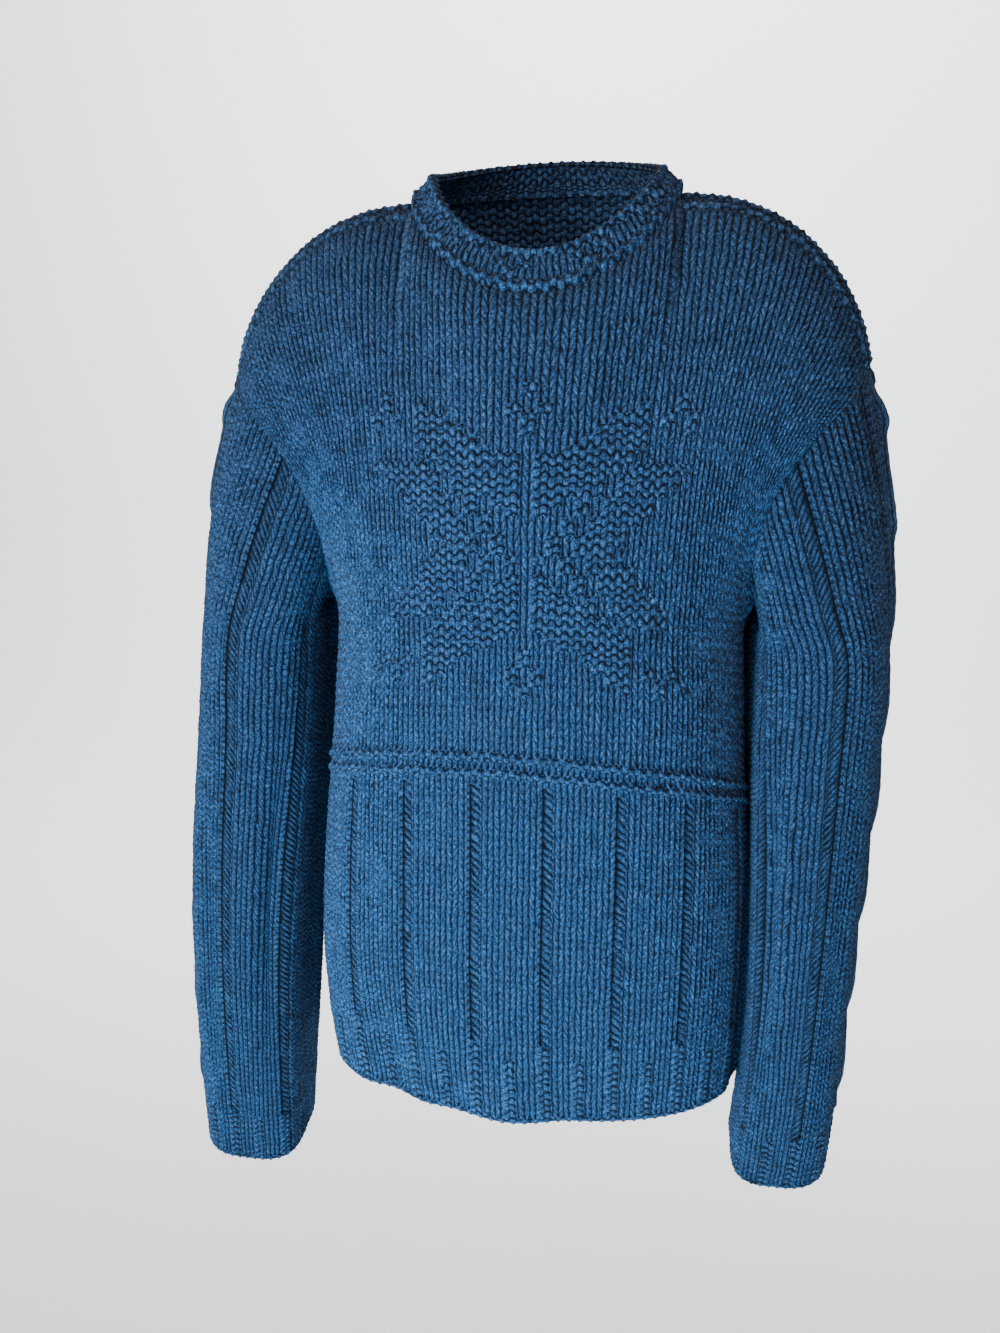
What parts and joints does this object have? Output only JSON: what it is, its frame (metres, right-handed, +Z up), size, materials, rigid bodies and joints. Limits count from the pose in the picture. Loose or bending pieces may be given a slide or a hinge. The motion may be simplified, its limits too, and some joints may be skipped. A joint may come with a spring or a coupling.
{
  "type": "knitted pullover sweater",
  "caption": "Chunky crew-neck wool pullover as it hangs when worn, hollow, with a raised star on the chest, waist ridges and cabled sleeves",
  "frame": {"origin": "midway between the sides of the neck, at the height where the sweater rests on the wearer's shoulders", "axes": "+Z up the wearer's body, -Y out of the front, +X to the wearer's left"},
  "size_m": [0.5852, 0.2534, 0.8469],
  "materials": {
    "front_wool": "matt heathered wool",
    "back_wool": "matt heathered wool",
    "sleeve_left_wool": "matt heathered wool",
    "sleeve_right_wool": "matt heathered wool",
    "neckband_wool": "matt heathered wool"
  },
  "bodies": {
    "root": {"front": "front_wool", "back": "back_wool", "sleeve_left": "sleeve_left_wool", "sleeve_right": "sleeve_right_wool", "neckband": "neckband_wool"}
  },
  "joints": []
}
